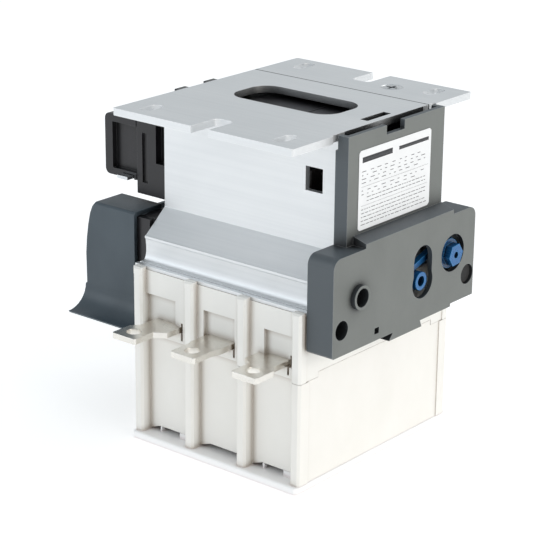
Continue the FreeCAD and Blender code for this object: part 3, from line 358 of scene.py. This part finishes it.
def smooth_by_angle():
    group = bpy.data.node_groups.new("smooth_by_angle", "GeometryNodeTree")
    group.interface.new_socket("Geometry", in_out="INPUT", socket_type="NodeSocketGeometry")
    group.interface.new_socket("Geometry", in_out="OUTPUT", socket_type="NodeSocketGeometry")
    tree = Tree(group)
    start = tree.add("NodeGroupInput")
    angle = tree.add("GeometryNodeInputMeshEdgeAngle")
    sharp = tree.add("FunctionNodeCompare", ("A", angle.outputs["Unsigned Angle"]), operation="GREATER_THAN",
                     data_type="FLOAT")
    sharp.inputs["B"].default_value = math.radians(SHARP_ANGLE)
    faces = tree.add("GeometryNodeSetShadeSmooth", ("Geometry", start.outputs[0]), domain="FACE")
    faces.inputs["Shade Smooth"].default_value = True
    edges = tree.add("GeometryNodeSetShadeSmooth", ("Geometry", faces.outputs[0]),
                     ("Selection", sharp.outputs[0]), domain="EDGE")
    edges.inputs["Shade Smooth"].default_value = False
    tree.add("NodeGroupOutput", ("Geometry", edges.outputs[0]))
    return group


def round_edges(piece, width_mm, shading):
    weld = piece.modifiers.new("join_facets", "WELD")
    weld.merge_threshold = 0.01 * MM
    flat = piece.modifiers.new("flat_faces", "DECIMATE")
    flat.decimate_type = "DISSOLVE"
    flat.angle_limit = math.radians(FLAT_ANGLE)
    bevel = piece.modifiers.new("moulded_edges", "BEVEL")
    bevel.width = width_mm * MM
    bevel.segments = 2
    bevel.limit_method = "ANGLE"
    bevel.angle_limit = math.radians(ROUNDED_ANGLE)
    bevel.use_clamp_overlap = True
    bevel.miter_outer = "MITER_ARC"
    shade_by_angle(piece, shading)
    even = piece.modifiers.new("even_normals", "WEIGHTED_NORMAL")
    even.keep_sharp = True


def shade_by_angle(piece, shading):
    shade = piece.modifiers.new("smooth_shading", "NODES")
    shade.node_group = shading


# How wide each node's edges are rounded, in millimetres; bars and arc plates go by their names
EDGE_WIDTHS = {
    "top_frame": 0.25, "rear_frame": 0.25, "pole_housing": 0.35, "arc_chamber_cover": 0.35,
    "front_plate": 0.35, "side_cover": 0.45, "left_shroud": 0.55, "end_cap": 0.5, "coil_block": 0.4,
    "coil_lid": 0.4, "guide_bush": 0.35, "interlock_pin": 0.35, "interlock_lever": 0.35,
    "lever_pivot": 0.2, "screw_plug": 0.35, "contact_carrier": 0.4, "coil_bobbin": 0.3, "armature": 0.2,
    "magnet_core": 0.2, "coil_winding": 0.6, "core_cushions": 0.5, "rating_label": 0.05,
    "earth_nut": 0.2, "shading_rings": 0.2, "coil_terminals": 0.15, "line_contact_tips": 0.3,
    "load_contact_tips": 0.3, "bridge_contact_tips": 0.3,
}
BAR_EDGE, ARC_PLATE_EDGE, OTHER_EDGE = 0.3, 0.1, 0.12

# Nodes whose finish isn't their slot's
OWN_FINISH = {
    # The side cover screws are painted black as the shade in their deep wells
    "side_cover_screws": "shade_black_steel", "coil_winding": "winding_tape", "screw_plug": "cushion_rubber",
}


def edge_width(name):
    if name.endswith(("_left", "_middle", "_right")):
        return BAR_EDGE if "terminal" in name or "bridge" in name else ARC_PLATE_EDGE
    return EDGE_WIDTHS.get(name, OTHER_EDGE)


def dress_nodes(finishes, shading):
    for name, piece in nodes.items():
        finish = finishes[OWN_FINISH.get(name, SLOT_OF[name])]
        piece.data.materials.clear()
        piece.data.materials.append(finish)
        round_edges(piece, edge_width(name), shading)


class Maker(Tree):
    """A Geometry Nodes tree with named sizes, in millimetres, whose result becomes one plain mesh."""

    def __init__(self, name, **sizes):
        self.group = bpy.data.node_groups.new(name, "GeometryNodeTree")
        super().__init__(self.group)
        self.group.interface.new_socket("Geometry", in_out="INPUT", socket_type="NodeSocketGeometry")
        self.group.interface.new_socket("Geometry", in_out="OUTPUT", socket_type="NodeSocketGeometry")
        self.values = {}
        for key, value in sizes.items():
            kind = "NodeSocketInt" if isinstance(value, int) else "NodeSocketFloat"
            socket = self.group.interface.new_socket(key, in_out="INPUT", socket_type=kind)
            self.values[socket.identifier] = value
        self.start = self.add("NodeGroupInput")

    def size(self, key):
        return self.start.outputs[key]

    def mm(self, key):
        return self.math("MULTIPLY", self.start.outputs[key], MM)

    def vector(self, *values):
        node = self.tree.nodes.new("ShaderNodeCombineXYZ")
        for index, value in enumerate(values):
            self.feed(node.inputs[index], value)
        return node.outputs[0]

    def on_each_spot(self, shape, turn=(0, 0, 0)):
        placed = self.add("GeometryNodeInstanceOnPoints", ("Points", self.start.outputs["Geometry"]),
                          ("Instance", shape))
        placed.inputs["Rotation"].default_value = turn
        return placed.outputs[0]

    def bake(self, name, base, result, finish):
        """The tree runs on a layout of points or edges, and its result is kept as a plain mesh."""
        plain = self.add("GeometryNodeRealizeInstances", ("Geometry", result))
        painted = self.add("GeometryNodeSetMaterial", ("Geometry", plain.outputs[0]))
        painted.inputs["Material"].default_value = finish
        self.add("NodeGroupOutput", ("Geometry", painted.outputs[0]))
        mesh = bpy.data.meshes.new(name + "_layout")
        mesh.from_pydata(*base, [])
        layout = bpy.data.objects.new(name + "_layout", mesh)
        bpy.context.collection.objects.link(layout)
        modifier = layout.modifiers.new("shape", "NODES")
        modifier.node_group = self.group
        for identifier, value in self.values.items():
            modifier[identifier] = value
        graph = bpy.context.evaluated_depsgraph_get()
        baked = bpy.data.meshes.new_from_object(layout.evaluated_get(graph))
        bpy.data.objects.remove(layout)
        piece = bpy.data.objects.new(name, baked)
        bpy.context.collection.objects.link(piece)
        return piece


SCREW_SIDES = 28
SCREW_RIBS = 9


def spots_in_metres(spots):
    return [[k * MM for k in spot] for spot in spots], []


def screw_profile(maker):
    """Radius and level of each row, from the middle of the head to the tip."""
    head, crown, top = maker.mm("Head radius"), maker.mm("Crown radius"), maker.mm("Head height")
    rim, shank, neck = maker.mm("Rim height"), maker.mm("Shank radius"), maker.mm("Neck depth")
    length = maker.mm("Length")
    under = maker.math("MULTIPLY", neck, -1.0)
    crest = maker.math("MULTIPLY", maker.math("ADD", top, maker.math("MULTIPLY", rim, 2.0)), 1 / 3)
    cheek = maker.math("ADD", crown, maker.math("MULTIPLY", head, 3.0))
    brow = maker.math("MULTIPLY", maker.math("SUBTRACT", top, rim), 0.333)
    radii = [0.0, crown, maker.math("MULTIPLY", cheek, 0.25), head, head, shank]
    levels = [top, top, maker.math("ADD", crest, brow), rim, 0.0, under]
    steps = 2 * SCREW_RIBS
    pitch = maker.math("DIVIDE", maker.math("SUBTRACT", length, neck), float(steps))
    for rib in range(steps):
        radii.append(shank if rib % 2 else maker.math("MULTIPLY", shank, 0.86))
        levels.append(maker.math("SUBTRACT", under, maker.math("MULTIPLY", pitch, rib + 1.0)))
    radii.append(0.0)
    levels.append(maker.math("MULTIPLY", length, -1.0))
    return radii, levels


def by_row(maker, row, values):
    node = maker.add("GeometryNodeIndexSwitch", ("Index", row), data_type="FLOAT")
    while len(node.index_switch_items) < len(values):
        node.index_switch_items.new()
    for place, value in enumerate(values):
        maker.feed(node.inputs[place + 1], value)
    return node.outputs[0]


def turned_solid(maker, radii, levels):
    """A grid whose rows are laid round the axis at the profile's radii and levels."""
    grid = maker.add("GeometryNodeMeshGrid")
    grid.inputs["Vertices X"].default_value = len(radii)
    grid.inputs["Vertices Y"].default_value = SCREW_SIDES + 1
    index = maker.add("GeometryNodeInputIndex").outputs[0]
    row = maker.math("FLOOR", maker.math("DIVIDE", index, SCREW_SIDES + 1.0))
    step = maker.math("SUBTRACT", index, maker.math("MULTIPLY", row, SCREW_SIDES + 1.0))
    angle = maker.math("MULTIPLY", step, 2 * math.pi / SCREW_SIDES)
    radius, level = by_row(maker, row, radii), by_row(maker, row, levels)
    spot = maker.vector(maker.math("MULTIPLY", radius, maker.math("COSINE", angle)),
                        maker.math("MULTIPLY", radius, maker.math("SINE", angle)), level)
    turned = maker.add("GeometryNodeSetPosition", ("Geometry", grid.outputs["Mesh"]), ("Position", spot))
    solid = maker.add("GeometryNodeMergeByDistance", ("Geometry", turned.outputs[0]))
    solid.inputs["Distance"].default_value = 0.002 * MM
    return solid.outputs[0]


def cross_recess(maker, solid):
    wide, narrow, deep = maker.mm("Recess width"), maker.mm("Recess slot"), maker.mm("Recess depth")
    tall = maker.math("MULTIPLY", deep, 2.0)
    carved = maker.add("GeometryNodeMeshBoolean", ("Mesh 1", solid), operation="DIFFERENCE")
    for size in (maker.vector(wide, narrow, tall), maker.vector(narrow, wide, tall)):
        cube = maker.add("GeometryNodeMeshCube", ("Size", size))
        cutter = maker.add("GeometryNodeTransform", ("Geometry", cube.outputs["Mesh"]),
                           ("Translation", maker.vector(0.0, 0.0, maker.mm("Head height"))))
        maker.tree.links.new(cutter.outputs[0], carved.inputs["Mesh 2"])
    return carved.outputs["Mesh"]


def cross_screw(name, spots, turn, finish, shading, **sizes):
    """A turned screw with a ribbed shank and a cross recess, its head's seat at each spot."""
    maker = Maker(name + "_maker", **sizes)
    screw = cross_recess(maker, turned_solid(maker, *screw_profile(maker)))
    piece = maker.bake(name, spots_in_metres(spots), maker.on_each_spot(screw, turn), finish)
    point_outwards(piece.data)
    shade_by_angle(piece, shading)
    return piece


def point_outwards(mesh):
    # A turned or swept shell can come out inside out: its signed volume tells
    volume = 0.0
    for face in mesh.polygons:
        corners = [mesh.vertices[k].co for k in face.vertices]
        for second, third in zip(corners[1:], corners[2:]):
            volume += corners[0].dot(second.cross(third))
    if volume < 0:
        mesh.flip_normals()


def coil_of_wire(name, spots, finish, shading, **sizes):
    """A round-wire coil that stands on each spot."""
    maker = Maker(name + "_maker", **sizes)
    radius = maker.mm("Coil radius")
    spiral = maker.add("GeometryNodeCurveSpiral", ("Rotations", maker.size("Turns")),
                       ("Start Radius", radius), ("End Radius", radius), ("Height", maker.mm("Height")))
    spiral.inputs["Resolution"].default_value = 22
    wire = maker.add("GeometryNodeCurvePrimitiveCircle", ("Radius", maker.mm("Wire radius")))
    wire.inputs["Resolution"].default_value = 10
    swept = maker.add("GeometryNodeCurveToMesh", ("Curve", spiral.outputs[0]),
                      ("Profile Curve", wire.outputs[0]))
    swept.inputs["Fill Caps"].default_value = True
    piece = maker.bake(name, spots_in_metres(spots), maker.on_each_spot(swept.outputs[0]), finish)
    point_outwards(piece.data)
    shade_by_angle(piece, shading)
    return piece


def printed_strokes(name, strokes, finish, **sizes):
    """Each edge of the layout becomes one printed stroke, a thin flat bar on the label's face."""
    maker = Maker(name + "_maker", **sizes)
    lines = maker.add("GeometryNodeMeshToCurve", ("Mesh", maker.start.outputs["Geometry"]))
    bar = maker.add("GeometryNodeCurvePrimitiveQuadrilateral", ("Width", maker.mm("Film height")),
                    ("Height", maker.mm("Stroke width")))
    swept = maker.add("GeometryNodeCurveToMesh", ("Curve", lines.outputs[0]),
                      ("Profile Curve", bar.outputs[0]))
    swept.inputs["Fill Caps"].default_value = True
    corners, edges = [], []
    for x, y0, z0, y1, z1 in strokes:
        edges.append((len(corners), len(corners) + 1))
        corners += [(x * MM, y0 * MM, z0 * MM), (x * MM, y1 * MM, z1 * MM)]
    piece = maker.bake(name, (corners, edges), swept.outputs[0], finish)
    point_outwards(piece.data)
    return piece


# The bays' middles across the poles, and the ways a screw's head can face
POLE_BAYS = (-32.6, 0.0, 32.6)
FACE_UP, FACE_DOWN, FACE_RIGHT = (0, 0, 0), (math.pi, 0, 0), (0, math.pi / 2, 0)

# The countersunk earth screw, in millimetres, with its head's face at the spot
SUNK_SIZES = {
    "Head radius": 5.3, "Crown radius": 4.7, "Head height": 0.0, "Rim height": -0.35, "Shank radius": 2.4,
    "Neck depth": 2.9, "Length": 13.8, "Recess width": 6.2, "Recess slot": 1.45, "Recess depth": 2.2,
}


def pan_sizes(head, height, length):
    return {
        "Head radius": head, "Crown radius": head * 0.52, "Head height": height, "Rim height": height * 0.38,
        "Shank radius": 1.85, "Neck depth": 0.5, "Length": length, "Recess width": head * 1.05,
        "Recess slot": head * 0.24, "Recess depth": height * 0.72,
    }


def screw_rows():
    """Each screw node with its spots, the way its heads face, its finish and its sizes."""
    feet = [(x, y, 88.7) for x in (-40.0, 40.0) for y in (-40.1, 40.1)]
    bars = [(x, y, 60.0) for x in POLE_BAYS for y in (-42.0, 42.0)]
    front = [(x, 0, 2.6) for x in (-16.3, 16.3)]
    magnet = [(x, 0, 105.68) for x in (-38, 38)]
    clamps = [(-84.5, y, 120.41) for y in (-18, 18)]
    cover = [(55.7, -48.8, 82.5), (55.7, 49.9, 83.4)]
    return [
        ("earth_screw", [(19.5, 50.2, 167.9)], FACE_UP, "zinc_steel", SUNK_SIZES),
        ("foot_screws", feet, FACE_UP, "zinc_steel", pan_sizes(3.4, 2.4, 11.0)),
        ("front_screws", front, FACE_DOWN, "zinc_steel", pan_sizes(3.9, 2.2, 71.4)),
        ("terminal_screws", bars, FACE_DOWN, "zinc_steel", pan_sizes(3.6, 2.4, 12.0)),
        ("armature_screws", magnet, FACE_UP, "zinc_steel", pan_sizes(3.5, 2.4, 17.2)),
        ("coil_terminal_screws", clamps, FACE_DOWN, "zinc_steel", pan_sizes(4.2, 2.6, 15.5)),
        ("side_cover_screws", cover, FACE_RIGHT, "shade_black_steel", pan_sizes(3.8, 2.6, 12.4)),
    ]


def fasteners(finishes, shading):
    for name, spots, turn, finish, sizes in screw_rows():
        screws = cross_screw(name + "_turned", spots, turn, finishes[finish], shading, **sizes)
        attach(screws, "carrier" if name == "armature_screws" else "housing")
        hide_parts(name)


def pressure_springs(finishes, shading):
    spots = [(x, 0.0, 38.5) for x in POLE_BAYS]
    wires = coil_of_wire("contact_springs_wound", spots, finishes["zinc_steel"], shading,
                         **{"Coil radius": 3.0, "Wire radius": 0.48, "Height": 7.1, "Turns": 4.5})
    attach(wires, "carrier")
    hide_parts("contact_springs")
    # The return springs stand on the armature plate and press against the fixed bobbin
    seats = [(0.0, y, 93.22) for y in (-21.5, 21.5)]
    long_wires = coil_of_wire("return_springs_wound", seats, finishes["zinc_steel"], shading,
                              **{"Coil radius": 3.9, "Wire radius": 0.58, "Height": 24.7, "Turns": 7.5})
    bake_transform(long_wires)
    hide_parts("return_springs")


# The rating label, in millimetres: where its print lies, and rows of strokes that are no letters
LABEL_X = 60.215
LABEL_LEFT, LABEL_RIGHT = -28.0, 25.2
LABEL_HIGH = 159.0
HEADING_DROP, ROWS_DROP, ROW_PITCH = 3.6, 9.0, 1.78
ROW_COUNT, RULED_ROWS, INDENTED_ROWS, TABLE_ROWS = 15, (4, 9), (7, 8), 7
INK_HEIGHT = 0.02


def label_rows():
    rng = random.Random(12)
    words, rules = [], []
    wide = LABEL_RIGHT - LABEL_LEFT
    for row in range(ROW_COUNT):
        z = LABEL_HIGH - ROWS_DROP - row * ROW_PITCH
        if row in RULED_ROWS:
            rules.append((LABEL_X, LABEL_LEFT + 1.0, z, LABEL_RIGHT - 1.0, z))
            continue
        y = LABEL_LEFT + 1.2 + (4.0 if row in INDENTED_ROWS else 0.0)
        stop = LABEL_LEFT + wide * (0.97 if row % 3 else 0.86)
        while y < stop - 1.2:
            step = min(rng.choice((1.0, 1.5, 2.3, 3.1)), stop - y)
            words.append((LABEL_X, y, z, y + step, z))
            y += step + (rng.choice((2.6, 3.4)) if row < TABLE_ROWS else 0.75)
    return words, rules


def label_print(finishes):
    words, rules = label_rows()
    z = LABEL_HIGH - HEADING_DROP
    heading = [(LABEL_X, LABEL_LEFT + 1.4, z, LABEL_LEFT + 24.0, z)]
    second = [(LABEL_X, LABEL_LEFT + 29.0, z, LABEL_RIGHT - 1.0, z)]
    groups = [
        ("label_words", words, 0.30), ("label_rules", rules, 0.10), ("label_heading", heading, 2.6),
        ("label_second_heading", second, 1.7),
    ]
    for name, strokes, width in groups:
        sizes = {"Stroke width": width, "Film height": INK_HEIGHT}
        piece = printed_strokes(name, strokes, finishes["label_ink"], **sizes)
        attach(piece, "housing")


def soft_world():
    """A pale sky, brightest and whitest at the horizon."""
    world = bpy.data.worlds.new("studio")
    bpy.context.scene.world = world
    world.use_nodes = True
    tree = Tree(world.node_tree)
    sky = world.node_tree.nodes["Background"]
    ray = tree.add("ShaderNodeTexCoord").outputs["Generated"]
    height = tree.add("ShaderNodeSeparateXYZ", ("Vector", ray)).outputs["Z"]
    tree.feed(sky.inputs["Strength"], tree.span(height, 0.0, 0.8, 0.76, 0.58))
    tint = tree.add("ShaderNodeMix", ("Factor", height), data_type="RGBA")
    tint.inputs[6].default_value = (0.97, 0.985, 0.985, 1)
    tint.inputs[7].default_value = (0.87, 0.945, 1.0, 1)
    tree.feed(sky.inputs["Color"], tint.outputs[2])


def white_floor():
    half = 4.0
    below = -0.0002
    data = bpy.data.meshes.new("floor")
    corners = [(-half, -half, 0), (half, -half, 0), (half, half, 0), (-half, half, 0)]
    data.from_pydata(corners, [], [(0, 1, 2, 3)])
    floor = bpy.data.objects.new("floor", data)
    bpy.context.collection.objects.link(floor)
    floor.location.z = below
    paint = bpy.data.materials.new("floor_white")
    paint.use_nodes = True
    shader = paint.node_tree.nodes["Principled BSDF"]
    shader.inputs["Base Color"].default_value = (0.82, 0.82, 0.82, 1)
    shader.inputs["Roughness"].default_value = 0.9
    shader.inputs["Specular IOR Level"].default_value = 0.0
    shader.inputs["Emission Color"].default_value = (1, 1, 1, 1)
    shader.inputs["Emission Strength"].default_value = 0.46
    data.materials.append(paint)


def studio():
    soft_world()
    softbox("cool_left", (-1.1, -1.3, 0.75), (0, 0, 0.08), (1.2, 1.0), 5.5, (0.88, 0.94, 1.0))
    softbox("warm_right", (1.7, -0.1, 0.55), (0, 0, 0.08), (0.9, 1.1), 10.5, (1.0, 0.94, 0.87))
    softbox("high_back", (0.3, 1.3, 1.3), (0, 0, 0.15), (1.2, 0.6), 5)
    white_floor()
    bpy.context.scene.view_settings.view_transform = "Standard"


finishes = make_finishes()
shading = smooth_by_angle()
dress_nodes(finishes, shading)
fasteners(finishes, shading)
pressure_springs(finishes, shading)
label_print(finishes)
aim_camera()
studio()
